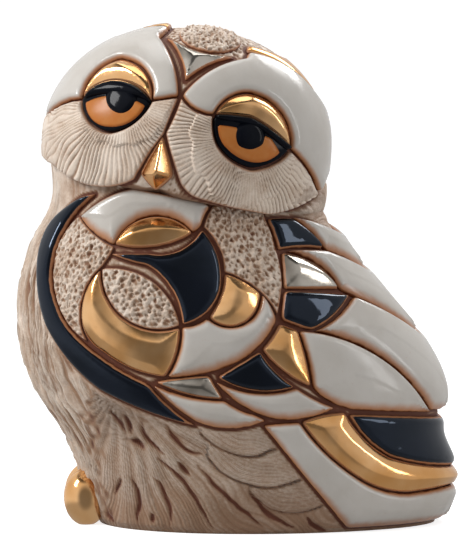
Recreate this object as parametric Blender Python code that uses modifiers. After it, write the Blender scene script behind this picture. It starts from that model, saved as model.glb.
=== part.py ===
"""Owl figurine: a hollow ceramic casting in two pieces, with raised cells of glaze and metal lustre.

The owl stands on a flat base at z = 0. It looks towards -Y over its left wing, its breast faces -X and
its tail points to +X. +Z is up and the origin is the centre of the base. The far wing mirrors the near one.

Each cell is drawn flat, as seen from the side (x to the right, height up), then laid on the curved casting.
The drawing leans back a little, so that a point nearer the viewer is laid higher. Lengths are in millimetres
until a mesh is made.
"""

import math

import bmesh
import bpy
import numpy as np
from mathutils import Vector
from mathutils.geometry import delaunay_2d_cdt

MM = 0.001
LEAN = math.tan(math.radians(5.0))  # how far the drawings lean back

# Body casting: height, then the outline's x at the breast, its x at the tail, and half its depth.
BODY_SECTIONS = [
    (0.0, -31.5, 43.5, 24.0),
    (10.0, -34.5, 46.7, 27.2),
    (20.0, -38.5, 43.4, 28.8),
    (30.0, -45.0, 44.1, 29.5),
    (40.0, -48.0, 39.3, 29.3),
    (50.0, -48.2, 31.2, 28.2),
    (60.0, -46.0, 23.2, 25.6),
    (70.0, -41.5, 17.6, 22.2),
    (84.0, -41.8, 16.8, 19.0),
]
BREAST_FULLNESS = 0.12  # how much rounder the breast is in plan than the tail
SPREAD = 34.0  # radius used to unroll the body

# Head casting: centre, half width, half depth, and half height above and below the centre.
HEAD_CENTRE = np.array([-11.7, 0.0, 84.0])
HEAD_HALF_WIDTH = 30.2
HEAD_HALF_DEPTH = 25.5
HEAD_RISE = 24.8
HEAD_DROP = 40.0
HEAD_SPREAD = 28.0  # radius used to unroll the head

# The neck joint is a plane that tips down towards the tail.
NECK_HEIGHT = 71.1  # where the plane crosses x = 0
NECK_SLOPE = -0.198

WALL = 4.5  # wall thickness of both castings
VENT_RADIUS = 9.0  # drain hole in the base
GAP = 0.3  # clearance between touching pieces
BED = 0.4  # clearance between a cell and the curved casting under it
GROOVE = 0.9  # width of the carved line between two cells
GLAZE = 1.3  # height of a cell above its bed
BEAK_RISE = 5.0
BASE_BEVEL = 0.97  # size of the flat base beside the section just above it
COLUMNS = 44  # points round a section of the body
RING_HEIGHTS = [1.2, 6, 12, 18, 21, 24, 27, 30, 36, 42, 48, 54, 60, 66, 72, 78, 84]  # sections of the body
CUTTER_BOTTOM, CUTTER_TOP = -2.0, 20.0  # the cutter runs past the feet both ways
HEAD_COLUMNS, HEAD_ROWS = 40, 22
FOOT_COLUMNS, FOOT_ROWS = 16, 10
CELL_STEP = 4.2  # spacing of the points inside a cell
LONGEST_SIDE = 4.5  # of a cell's outline
TOLERANCE = 0.12  # how far a cell's outline may cut across an arc
FOOT_CENTRE = (-33.9, 5.6, 5.9)
FOOT_RADII = (5.0, 5.2, 6.4)

# Colours (linear) and how each finish reflects: colour, roughness, metallic.
FINISHES = {
    "bisque": ((0.60, 0.47, 0.37), 0.75, 0.0),
    "white_glaze": ((0.72, 0.70, 0.66), 0.22, 0.0),
    "black_glaze": ((0.008, 0.011, 0.02), 0.08, 0.0),
    "gold_lustre": ((0.83, 0.50, 0.20), 0.15, 1.0),
    "platinum_lustre": ((0.55, 0.50, 0.42), 0.15, 1.0),
    "amber_glaze": ((0.60, 0.22, 0.04), 0.2, 0.0),
}

# An outline is a ring of corners, anticlockwise: x, height, and how far the side after it bows outwards.
WING_CELLS = {
    "leading_edge": ("black_glaze", [
        (-30.6, 72.2, 0.0), (-34.0, 71.6, 2.0), (-43.4, 58.0, 0.9), (-41.7, 43.3, 1.1), (-30.1, 29.5, 0.8),
        (-8.8, 21.5, -0.7), (-19.6, 30.8, -1.0), (-36.3, 42.3, -1.0), (-40.6, 54.5, -2.3)]),
    "roundel_white_arch": ("white_glaze", [
        (-34.5, 66.6, 0.8), (-27.0, 60.6, -5.0), (-10.3, 63.2, 0.1), (-8.4, 64.8, -0.3),
        (-6.4, 69.0, 1.4), (-20.0, 73.6, 1.7)]),
    "roundel_gold_lens": ("gold_lustre", [(-27.2, 60.8, 1.8), (-10.1, 63.3, 5.0)]),
    "roundel_black": ("black_glaze", [
        (-28.6, 59.0, 0.3), (-20.0, 56.3, -1.9), (-12.6, 43.4, 1.7), (-4.2, 51.0, 1.6), (-8.4, 64.3, -2.1),
        (-19.5, 59.0, 0.0)]),
    "roundel_gold_crescent": ("gold_lustre", [
        (-29.9, 55.8, 1.2), (-34.3, 45.6, 1.3), (-29.6, 37.7, 1.1), (-16.0, 32.2, 1.0), (-12.8, 43.2, -5.9)]),
    "roundel_white_crescent": ("white_glaze", [
        (-16.0, 32.1, 1.1), (0.5, 35.9, 0.9), (8.0, 44.4, 0.4), (4.4, 50.4, -0.1), (4.2, 48.4, -3.7),
        (-7.2, 45.2, -0.6), (-12.7, 43.2, -1.0)]),
    "roundel_gold_gem": ("gold_lustre", [
        (-3.5, 54.8, -0.8), (-7.0, 45.2, 3.7), (4.2, 48.4, 0.1), (4.4, 50.3, 0.5)]),
    "covert_black_top": ("black_glaze", [
        (5.6, 66.6, -0.2), (8.0, 59.6, -0.4), (17.9, 59.8, 0.6), (10.6, 66.8, 0.1)]),
    "covert_platinum_top": ("platinum_lustre", [(8.7, 59.2, 0.0), (9.3, 51.1, 0.0), (21.4, 51.1, 1.9)]),
    "covert_black_mid": ("black_glaze", [
        (9.3, 50.8, 0.2), (8.7, 44.5, 0.1), (15.2, 42.2, 1.1), (23.6, 49.8, 0.2)]),
    "covert_gold": ("gold_lustre", [
        (4.4, 38.3, 1.0), (15.4, 29.9, 0.4), (12.4, 42.4, 0.0), (8.2, 43.9, -0.3)]),
    "covert_black_low": ("black_glaze", [(-5.2, 32.3, 2.0), (12.0, 30.0, -0.7), (4.2, 38.0, 0.0)]),
    "covert_platinum_low": ("platinum_lustre", [(-18.6, 31.3, 1.0), (-3.4, 27.4, 0.0), (-6.6, 32.7, 0.3)]),
    "covert_white_1": ("white_glaze", [
        (-5.8, 31.8, 0.8), (3.3, 24.4, 0.4), (10.6, 22.8, 0.6), (20.8, 25.5, -0.4), (12.0, 30.0, -2.0)]),
    "covert_white_2": ("white_glaze", [
        (-19.2, 31.0, 0.6), (-9.6, 22.6, 1.8), (6.2, 23.0, -0.2), (3.3, 24.2, -0.5), (-3.2, 27.3, -1.0)]),
    "feather_1": ("white_glaze", [
        (10.8, 66.9, -0.6), (18.2, 59.6, -0.8), (31.5, 51.4, 0.0), (35.0, 53.0, 0.0), (26.5, 59.0, 0.5),
        (17.8, 65.0, 0.4)]),
    "feather_2": ("white_glaze", [
        (8.8, 59.4, -1.9), (21.4, 51.1, 0.0), (24.4, 49.5, -0.8), (40.1, 39.6, -0.3), (46.0, 33.5, 0.0),
        (52.0, 44.0, 0.0), (35.0, 53.0, 0.0), (31.5, 51.4, 0.8), (18.0, 59.6, 0.3)]),
    "feather_3": ("white_glaze", [
        (15.2, 42.0, -3.6), (41.3, 24.6, 0.0), (52.0, 24.6, 0.0), (52.0, 34.0, 0.0), (46.0, 33.5, 0.3),
        (40.1, 39.6, 0.8), (24.2, 49.5, -1.1)]),
    "feather_4": ("white_glaze", [
        (12.4, 42.3, -0.4), (15.5, 29.8, 0.9), (24.9, 24.9, 0.1), (41.3, 24.2, 3.6), (15.2, 42.0, 0.0)]),
    "tail_black": ("black_glaze", [
        (23.2, 24.2, 1.0), (32.3, 14.7, 0.7), (48.0, 12.2, 0.0), (54.0, 12.2, 0.0), (54.0, 23.4, 0.0),
        (41.3, 23.4, 0.0)]),
    "tail_gold": ("gold_lustre", [
        (12.9, 22.6, 1.0), (25.7, 10.0, 0.85), (36.7, 6.8, 0.2), (48.0, 8.6, 0.0), (54.0, 8.6, 0.0),
        (54.0, 12.2, 0.0), (48.0, 12.2, -0.7), (32.3, 14.6, -1.0), (22.6, 24.6, 0.5)]),
    "tail_white": ("white_glaze", [
        (4.6, 22.0, 0.0), (24.4, -2.6, 0.0), (54.0, -2.0, 0.0), (54.0, 8.6, 0.0), (48.0, 8.6, -0.2),
        (36.7, 6.7, -0.85), (25.7, 9.9, -1.0), (12.8, 22.6, 0.0)]),
}

FACE_CELLS = {
    "right_upper_disc": ("white_glaze", [
        (-12.6, 93.0, 1.1), (-5.7, 88.9, -1.4), (1.8, 93.7, -3.0), (10.5, 81.7, -0.9), (16.6, 72.6, 0.3),
        (19.3, 82.0, 1.2), (15.0, 94.4, 1.6), (1.3, 102.3, -0.1), (0.9, 101.0, 1.6)]),
    "left_upper_disc": ("white_glaze", [
        (-42.8, 87.2, -1.5), (-33.9, 92.5, -1.9), (-25.5, 101.2, -2.6), (-19.0, 91.9, 0.0),
        (-13.2, 92.8, 1.2), (-17.4, 105.8, 0.0), (-15.4, 107.8, 0.1), (-20.5, 107.3, 0.1),
        (-25.5, 105.7, 0.2), (-31.5, 104.6, 0.8), (-40.5, 98.0, 0.4), (-44.0, 88.0, 0.0)]),
    "forehead_star": ("platinum_lustre", [(-17.0, 106.8, -1.3), (-12.0, 96.0, -1.4), (1.9, 101.7, -1.8)]),
    "right_eyelid": ("gold_lustre", [
        (-5.7, 88.9, 0.0), (2.0, 88.4, -0.6), (10.5, 81.8, 3.0), (1.8, 93.6, 1.4)]),
    "left_eyelid": ("gold_lustre", [(-33.9, 92.5, -4.4), (-19.0, 91.3, 2.6), (-25.5, 101.1, 1.9)]),
    "right_eye_black": ("black_glaze", [
        (-5.8, 88.7, 0.5), (-5.0, 82.4, 0.9), (2.2, 77.4, 1.0), (10.4, 81.6, 0.6), (2.0, 88.3, 0.0)]),
    "left_eye_black": ("black_glaze", [(-33.9, 92.4, 1.9), (-27.8, 85.2, 1.4), (-19.0, 91.2, 4.4)]),
    "right_crown_crescent": ("gold_lustre", [
        (1.2, 102.7, -1.5), (15.3, 94.6, -0.5), (19.4, 86.6, 0.3), (15.9, 96.2, 1.6), (1.2, 104.2, 0.0)]),
    "left_crown_crescent": ("gold_lustre", [
        (-31.0, 104.6, 0.0), (-25.5, 105.8, -0.2), (-20.5, 107.4, -0.1), (-15.2, 107.9, 0.0),
        (-14.6, 109.4, 0.1), (-21.0, 109.6, 0.2)]),
}
IRIS_OUTLINES = {
    "left_iris": [(-32.9, 91.3, 1.9), (-27.2, 85.9, 1.9), (-20.3, 90.8, 0.2),
                  (-22.4, 92.6, -1.2), (-26.4, 87.5, -1.2), (-30.4, 93.0, 0.2)],
    "right_iris": [(-4.9, 85.8, 1.4), (0.9, 78.9, 2.2), (9.0, 81.5, 0.1),
                   (6.9, 83.3, -1.9), (1.1, 80.2, -1.6), (-2.1, 86.0, 0.2)],
}
BEAK_CORNERS = [(-21.5, 76.4), (-18.2, 72.6), (-14.4, 75.8), (-16.7, 84.4)]
BEAK_RIDGE = [(-18.1, 75.2), (-17.0, 80.0)]


def smooth(heights, values, at):
    """A smooth curve through the values given at the heights, read off at other heights."""
    slopes = np.gradient(values, heights)
    low = np.clip(np.searchsorted(heights, at) - 1, 0, len(heights) - 2)
    step = heights[low + 1] - heights[low]
    t = (at - heights[low]) / step
    start = (2 * t**3 - 3 * t**2 + 1) * values[low] + (t**3 - 2 * t**2 + t) * step * slopes[low]
    end = (3 * t**2 - 2 * t**3) * values[low + 1] + (t**3 - t**2) * step * slopes[low + 1]
    return start + end


def body_section(height):
    """Middle x, half width and half depth of the body at a height."""
    heights, breast, tail, depth = np.array(BODY_SECTIONS).T
    at = np.clip(height, heights[0], heights[-1])
    left = smooth(heights, breast, at)
    right = smooth(heights, tail, at)
    return (left + right) / 2, (right - left) / 2, smooth(heights, depth, at)


def body_point(turn, height):
    """A point on the body. turn is 0 at the tail, pi/2 on the near side and pi at the breast."""
    middle, half_width, half_depth = body_section(height)
    x = middle + half_width * np.cos(turn)
    y = -half_depth * np.sin(turn) * (1 - BREAST_FULLNESS * np.cos(turn))
    return np.stack([x, y, height + 0 * x], axis=-1)


def lay_on_body(flat, lift):
    """From the unrolled body (turned length, height) to points that stand lift above it."""
    turn, height = -flat[:, 0] / SPREAD, flat[:, 1]
    small = 0.01
    across = body_point(turn - small, height) - body_point(turn + small, height)
    up = body_point(turn, height + small) - body_point(turn, height - small)
    normal = np.cross(across, up)
    normal /= np.linalg.norm(normal, axis=1, keepdims=True)
    return body_point(turn, height) + lift * normal


def unroll_on_body(drawn):
    """From the side drawing to the unrolled body. What is drawn past the outline ends on the ridge."""
    height = drawn[:, 1].copy()
    for _ in range(6):
        middle, half_width, half_depth = body_section(height)
        cosine = np.clip((drawn[:, 0] - middle) / half_width, -1, 1)
        turn = np.arccos(cosine)
        near = half_depth * np.sin(turn) * (1 - BREAST_FULLNESS * cosine)
        height = drawn[:, 1] + LEAN * near
    top = neck_height(body_point(turn, height)[:, 0]) - 2 * GAP
    return np.stack([-SPREAD * turn, np.clip(height, GROOVE, top)], axis=1)


def lay_on_head(flat, lift):
    """From the unrolled head to points that stand lift above it."""
    reach = np.maximum(np.linalg.norm(flat, axis=1), 1e-9)
    angle = reach / HEAD_SPREAD
    direction = np.stack([
        np.sin(angle) * flat[:, 0] / reach,
        -np.cos(angle),
        np.sin(angle) * flat[:, 1] / reach], axis=1)
    tall = np.where(direction[:, 2] > 0, HEAD_RISE, HEAD_DROP)
    radii = np.stack([np.full(len(flat), HEAD_HALF_WIDTH), np.full(len(flat), HEAD_HALF_DEPTH), tall], axis=1)
    normal = direction / radii
    normal /= np.linalg.norm(normal, axis=1, keepdims=True)
    return HEAD_CENTRE + direction * radii + lift * normal


def unroll_on_head(drawn):
    """From the side drawing to the unrolled head. What is drawn past the outline runs on round the back."""
    side = (drawn[:, 0] - HEAD_CENTRE[0]) / HEAD_HALF_WIDTH
    near = np.zeros(len(drawn))
    for _ in range(6):
        rise = drawn[:, 1] + LEAN * near - HEAD_CENTRE[2]
        up = rise / np.where(rise > 0, HEAD_RISE, HEAD_DROP)
        radius = np.maximum(np.hypot(side, up), 1e-9)
        near = HEAD_HALF_DEPTH * np.sqrt(np.maximum(1 - radius**2, 0))
    angle = np.where(radius < 1, np.arcsin(np.minimum(radius, 1)), math.pi / 2 + radius - 1)
    return HEAD_SPREAD * (angle / radius)[:, None] * np.stack([side, up], axis=1)


def neck_height(x):
    return NECK_HEIGHT + NECK_SLOPE * x


def drawn_ring(corners, spacing):
    """Points along an outline whose sides are arcs, each given by its bow."""
    points = []
    for (x, z, bow), (next_x, next_z, _) in zip(corners, corners[1:] + corners[:1]):
        start, end = np.array([x, z]), np.array([next_x, next_z])
        chord = end - start
        length = np.linalg.norm(chord)
        outward = np.array([chord[1], -chord[0]]) / length
        half_angle = 2 * math.atan(2 * bow / length)
        for t in np.arange(0, 1, spacing / length):
            if abs(half_angle) < 1e-3:
                points.append(start + t * chord)
                continue
            radius = length / 2 / math.sin(half_angle)
            swing = (2 * t - 1) * half_angle
            along = radius * math.sin(swing) / length
            out = radius * (math.cos(swing) - math.cos(half_angle))
            points.append(start + (0.5 + along) * chord + out * outward)
    return np.array(points)


def edge_distance(points, ring):
    """Distance from each point to the nearest side of a ring."""
    start, side = ring, np.roll(ring, -1, axis=0) - ring
    away = points[:, None] - start[None]
    t = np.clip((away * side).sum(2) / np.maximum((side**2).sum(1), 1e-12), 0, 1)
    return np.linalg.norm(away - t[..., None] * side, axis=2).min(axis=1)


def inside(points, ring):
    """Whether each point is inside a ring."""
    x, y = points[:, 0, None], points[:, 1, None]
    start, end = ring, np.roll(ring, -1, axis=0)
    crosses = (start[:, 1] > y) != (end[:, 1] > y)
    rise = np.where(end[:, 1] == start[:, 1], 1e-12, end[:, 1] - start[:, 1])
    at = start[:, 0] + (y - start[:, 1]) * (end[:, 0] - start[:, 0]) / rise
    return (crosses & (x < at)).sum(axis=1) % 2 == 1


def thinned(ring, tolerance, longest):
    """The ring with only the points its shape needs, and no side longer than the limit."""
    keep = [0]
    last = 0
    for index in range(2, len(ring) + 1):
        end = ring[index % len(ring)]
        chord = end - ring[last]
        length = max(np.linalg.norm(chord), 1e-9)
        between = ring[last + 1:index] - ring[last]
        off = np.abs(between[:, 0] * chord[1] - between[:, 1] * chord[0]) / length
        if off.max() > tolerance or length > longest:
            last = index - 1
            keep.append(last)
    return ring[keep]


def inset(ring, distance):
    """The ring moved inwards by a distance, without the stretches that would cross."""
    keep = np.linalg.norm(np.roll(ring, -1, axis=0) - ring, axis=1) > 1e-4
    ring = ring[keep]
    along = np.roll(ring, -1, axis=0) - np.roll(ring, 1, axis=0)
    inward = np.stack([-along[:, 1], along[:, 0]], axis=1)
    inward /= np.maximum(np.linalg.norm(inward, axis=1, keepdims=True), 1e-9)
    moved = ring + distance * inward
    clear = (edge_distance(moved, ring) > 0.97 * distance) & inside(moved, ring)
    return moved[clear]


def add_object(name, mesh, finish, collection):
    """A named object with its own material."""
    obj = bpy.data.objects.new(name, mesh)
    collection.objects.link(obj)
    colour, roughness, metallic = FINISHES[finish]
    material = bpy.data.materials.new(name)
    material.use_nodes = True
    shader = material.node_tree.nodes["Principled BSDF"]
    shader.inputs["Base Color"].default_value = (*colour, 1.0)
    shader.inputs["Roughness"].default_value = roughness
    shader.inputs["Metallic"].default_value = metallic
    mesh.materials.append(material)
    return obj


def to_mesh(name, points, faces):
    mesh = bpy.data.meshes.new(name)
    mesh.from_pydata((np.asarray(points) * MM).tolist(), [], [list(map(int, face)) for face in faces])
    mesh.update()
    return mesh


def add_shell(obj, thickness, offset):
    """Gives an open surface its thickness. Offset 1 grows outwards and -1 inwards."""
    shell = obj.modifiers.new("thickness", "SOLIDIFY")
    shell.thickness = thickness * MM
    shell.offset = offset
    return shell


def cell(name, corners, finish, unroll, lay, collection, lift=BED, margin=GROOVE / 2, far=False):
    """One raised cell of glaze: its outline, laid on a casting and given its thickness."""
    ring = inset(unroll(drawn_ring(corners, 0.5)), margin)
    ring = thinned(ring, TOLERANCE, LONGEST_SIDE)
    low, high = ring.min(axis=0), ring.max(axis=0)
    columns = np.arange(low[0] + CELL_STEP / 2, high[0], CELL_STEP)
    rows = np.arange(low[1] + CELL_STEP / 2, high[1], CELL_STEP)
    grid = np.array([(x, y) for x in columns for y in rows]).reshape(-1, 2)
    if len(grid):
        grid = grid[inside(grid, ring) & (edge_distance(grid, ring) > CELL_STEP * 0.4)]
    flat = [Vector(point) for point in np.vstack([ring, grid])]
    count = len(ring)
    sides = [(index, (index + 1) % count) for index in range(count)]
    points, _, faces, *_ = delaunay_2d_cdt(flat, sides, [], 1, 1e-4)
    placed = lay(np.array([tuple(point) for point in points]), lift)
    if far:
        placed[:, 1] *= -1
        faces = [face[::-1] for face in faces]
    obj = add_object(name, to_mesh(name, placed, faces), finish, collection)
    add_shell(obj, GLAZE, 1)
    obj.data.shade_smooth()
    return obj


def loft(rings):
    """Points and faces of a tube through closed rings of equal length."""
    count = len(rings[0])
    faces = []
    for low in range(len(rings) - 1):
        for index in range(count):
            after = (index + 1) % count
            faces.append((low * count + index, low * count + after,
                          (low + 1) * count + after, (low + 1) * count + index))
    return np.vstack(rings), faces


def body_ring(height, lift=0.0):
    turns = -np.linspace(0, 2 * math.pi, COLUMNS, endpoint=False)
    flat = np.stack([-SPREAD * turns, np.full(COLUMNS, height)], axis=1)
    return lay_on_body(flat, lift)


def cut_at_neck(mesh, keep_below):
    """Cuts a mesh off at the neck joint, half a gap short of it, and leaves it open."""
    side = -1 if keep_below else 1
    normal = Vector((-NECK_SLOPE, 0, 1)).normalized()
    foot = Vector((0, 0, (NECK_HEIGHT + side * GAP / 2) * MM))
    shape = bmesh.new()
    shape.from_mesh(mesh)
    everything = shape.verts[:] + shape.edges[:] + shape.faces[:]
    bmesh.ops.bisect_plane(shape, geom=everything, plane_co=foot, plane_no=normal * -side, clear_inner=False,
                           clear_outer=False, dist=1e-6)
    doomed = [face for face in shape.faces if (face.calc_center_median() - foot).dot(normal) * side < 0]
    bmesh.ops.delete(shape, geom=doomed, context="FACES")
    shape.to_mesh(mesh)
    shape.free()


def make_body(collection):
    """The hollow body: a loft of egg-shaped sections, with a flat base round the vent."""
    base = body_ring(0.0)
    centre = np.array([base[:, 0].mean(), 0.0, 0.0])
    angle = np.arctan2(base[:, 1], base[:, 0] - centre[0])
    vent = centre + VENT_RADIUS * np.stack([np.cos(angle), np.sin(angle), 0 * angle], axis=1)
    bevel = centre + (base - centre) * BASE_BEVEL
    points, faces = loft([vent, bevel] + [body_ring(height) for height in RING_HEIGHTS])
    mesh = to_mesh("body_casting", points, faces)
    cut_at_neck(mesh, keep_below=True)
    body = add_object("body_casting", mesh, "bisque", collection)
    wall = add_shell(body, WALL, -1)
    wall.use_even_offset = True
    mesh.shade_smooth()
    mesh.set_sharp_from_angle(angle=math.radians(40))
    return body


def make_head(collection):
    """The hollow head: an egg cut off at the neck joint and open there."""
    shape = bmesh.new()
    bmesh.ops.create_uvsphere(shape, u_segments=HEAD_COLUMNS, v_segments=HEAD_ROWS, radius=1.0)
    for vert in shape.verts:
        tall = HEAD_RISE if vert.co.z > 0 else HEAD_DROP
        radii = np.array([HEAD_HALF_WIDTH, HEAD_HALF_DEPTH, tall])
        vert.co = Vector((HEAD_CENTRE + np.array(vert.co) * radii) * MM)
    mesh = bpy.data.meshes.new("head_casting")
    shape.to_mesh(mesh)
    shape.free()
    cut_at_neck(mesh, keep_below=False)
    head = add_object("head_casting", mesh, "bisque", collection)
    add_shell(head, WALL, -1)
    mesh.shade_smooth()
    return head


def make_beak(collection):
    """A kite-shaped beak with a ridge down its middle."""
    base = lay_on_head(unroll_on_head(np.array(BEAK_CORNERS)), 0.0)
    ridge = lay_on_head(unroll_on_head(np.array(BEAK_RIDGE)), BEAK_RISE)
    base[:, 1] = base[:, 1].min() - 3 * GAP  # a flat back, clear of the casting
    shape = bmesh.new()
    for point in np.vstack([base, ridge]):
        shape.verts.new(point * MM)
    bmesh.ops.convex_hull(shape, input=shape.verts[:])
    mesh = bpy.data.meshes.new("beak")
    shape.to_mesh(mesh)
    shape.free()
    return add_object("beak", mesh, "gold_lustre", collection)


def body_cutter(cutters):
    """The closed body shape, one gap larger, that makes room for the feet."""
    heights = [CUTTER_BOTTOM, 0.0] + [height for height in RING_HEIGHTS if height < CUTTER_TOP]
    points, faces = loft([body_ring(height, GAP * 2) for height in heights])
    faces.append(list(range(COLUMNS))[::-1])
    faces.append(list(range(len(points) - COLUMNS, len(points))))
    cutter = add_object("body_cutter", to_mesh("body_cutter", points, faces), "bisque", cutters)
    cutter.hide_render = True
    cutter.display_type = "WIRE"
    return cutter


def make_foot(name, side, cutter, collection):
    """A rounded foot that looks out from under the breast."""
    x, y, z = FOOT_CENTRE
    shape = bmesh.new()
    bmesh.ops.create_uvsphere(shape, u_segments=FOOT_COLUMNS, v_segments=FOOT_ROWS, radius=1.0)
    for vert in shape.verts:
        vert.co = Vector((x, side * y, z)) + vert.co * Vector(FOOT_RADII)
        vert.co *= MM
    everything = shape.verts[:] + shape.edges[:] + shape.faces[:]
    cut = bmesh.ops.bisect_plane(shape, geom=everything, plane_co=(0, 0, 0), plane_no=(0, 0, -1),
                                 clear_outer=True, dist=1e-6)
    rim = [item for item in cut["geom_cut"] if isinstance(item, bmesh.types.BMEdge)]
    bmesh.ops.edgeloop_fill(shape, edges=rim)
    bmesh.ops.recalc_face_normals(shape, faces=shape.faces[:])
    mesh = bpy.data.meshes.new(name)
    shape.to_mesh(mesh)
    shape.free()
    foot = add_object(name, mesh, "gold_lustre", collection)
    room = foot.modifiers.new("room_for_body", "BOOLEAN")
    room.operation = "DIFFERENCE"
    room.solver = "EXACT"
    room.object = cutter
    return foot


def main():
    for obj in list(bpy.data.objects):
        bpy.data.objects.remove(obj, do_unlink=True)
    owl = bpy.data.collections.new("owl_figurine")
    cutters = bpy.data.collections.new("cutters")
    bpy.context.scene.collection.children.link(owl)
    bpy.context.scene.collection.children.link(cutters)

    make_body(owl)
    make_head(owl)
    make_beak(owl)
    cutter = body_cutter(cutters)
    make_foot("left_foot", -1, cutter, owl)
    make_foot("right_foot", 1, cutter, owl)
    for name, (finish, corners) in FACE_CELLS.items():
        cell(name, corners, finish, unroll_on_head, lay_on_head, owl)
    for name, corners in IRIS_OUTLINES.items():
        cell(name, corners, "amber_glaze", unroll_on_head, lay_on_head, owl,
             lift=GLAZE + BED + GAP, margin=GAP / 2)
    for name, (finish, corners) in WING_CELLS.items():
        cell("left_wing_" + name, corners, finish, unroll_on_body, lay_on_body, owl)
        cell("right_wing_" + name, corners, finish, unroll_on_body, lay_on_body, owl, far=True)


main()
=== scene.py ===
"""Owl figurine: the looks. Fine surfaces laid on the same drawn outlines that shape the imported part.

Lengths are in millimetres until a mesh is made. A "flat" point is a place on an unrolled casting.
"""

import math

import bmesh
import bpy
import numpy as np
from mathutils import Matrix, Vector
from mathutils.geometry import delaunay_2d_cdt
from mathutils.kdtree import KDTree


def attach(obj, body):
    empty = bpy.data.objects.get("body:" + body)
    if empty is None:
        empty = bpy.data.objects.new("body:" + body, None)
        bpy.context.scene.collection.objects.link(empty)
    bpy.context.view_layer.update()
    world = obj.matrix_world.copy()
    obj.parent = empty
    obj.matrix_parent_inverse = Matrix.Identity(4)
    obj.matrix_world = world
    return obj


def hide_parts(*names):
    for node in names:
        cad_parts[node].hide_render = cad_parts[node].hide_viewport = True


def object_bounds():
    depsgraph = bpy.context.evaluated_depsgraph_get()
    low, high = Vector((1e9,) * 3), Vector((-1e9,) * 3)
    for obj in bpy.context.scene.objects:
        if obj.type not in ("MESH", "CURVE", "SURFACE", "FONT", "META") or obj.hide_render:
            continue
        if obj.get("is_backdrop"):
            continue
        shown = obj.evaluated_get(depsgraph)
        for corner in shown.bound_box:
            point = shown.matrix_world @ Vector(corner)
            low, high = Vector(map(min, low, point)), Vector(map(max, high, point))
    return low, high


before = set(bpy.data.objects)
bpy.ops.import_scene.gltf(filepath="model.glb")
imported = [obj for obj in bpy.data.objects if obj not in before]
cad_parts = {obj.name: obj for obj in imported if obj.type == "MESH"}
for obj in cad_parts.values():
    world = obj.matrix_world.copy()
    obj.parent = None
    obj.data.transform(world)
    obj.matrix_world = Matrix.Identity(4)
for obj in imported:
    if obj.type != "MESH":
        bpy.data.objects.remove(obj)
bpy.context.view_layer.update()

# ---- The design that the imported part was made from

MM = 0.001
LEAN = math.tan(math.radians(5.0))  # how far the drawings lean back

# Body casting: height, then the outline's x at the breast, its x at the tail, and half its depth.
BODY_SECTIONS = [
    (0.0, -31.5, 43.5, 24.0),
    (10.0, -34.5, 46.7, 27.2),
    (20.0, -38.5, 43.4, 28.8),
    (30.0, -45.0, 44.1, 29.5),
    (40.0, -48.0, 39.3, 29.3),
    (50.0, -48.2, 31.2, 28.2),
    (60.0, -46.0, 23.2, 25.6),
    (70.0, -41.5, 17.6, 22.2),
    (84.0, -41.8, 16.8, 19.0),
]
BREAST_FULLNESS = 0.12  # how much rounder the breast is in plan than the tail
SPREAD = 34.0  # radius used to unroll the body

# Head casting: centre, half width, half depth, and half height above and below the centre.
HEAD_CENTRE = np.array([-11.7, 0.0, 84.0])
HEAD_HALF_WIDTH = 30.2
HEAD_HALF_DEPTH = 25.5
HEAD_RISE = 24.8
HEAD_DROP = 40.0
HEAD_SPREAD = 28.0  # radius used to unroll the head

# The neck joint is a plane that tips down towards the tail.
NECK_HEIGHT = 71.1  # where the plane crosses x = 0
NECK_SLOPE = -0.198

WALL = 4.5  # wall thickness of both castings
VENT_RADIUS = 9.0  # drain hole in the base
GAP = 0.3  # clearance between touching pieces
GROOVE = 0.9  # width of the carved line between two cells
BEAK_RISE = 5.0
FOOT_CENTRE = (-33.9, 5.6, 5.9)
FOOT_RADII = (5.0, 5.2, 6.4)
BLOCK = 2000  # points that are measured against a ring at one time

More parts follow.
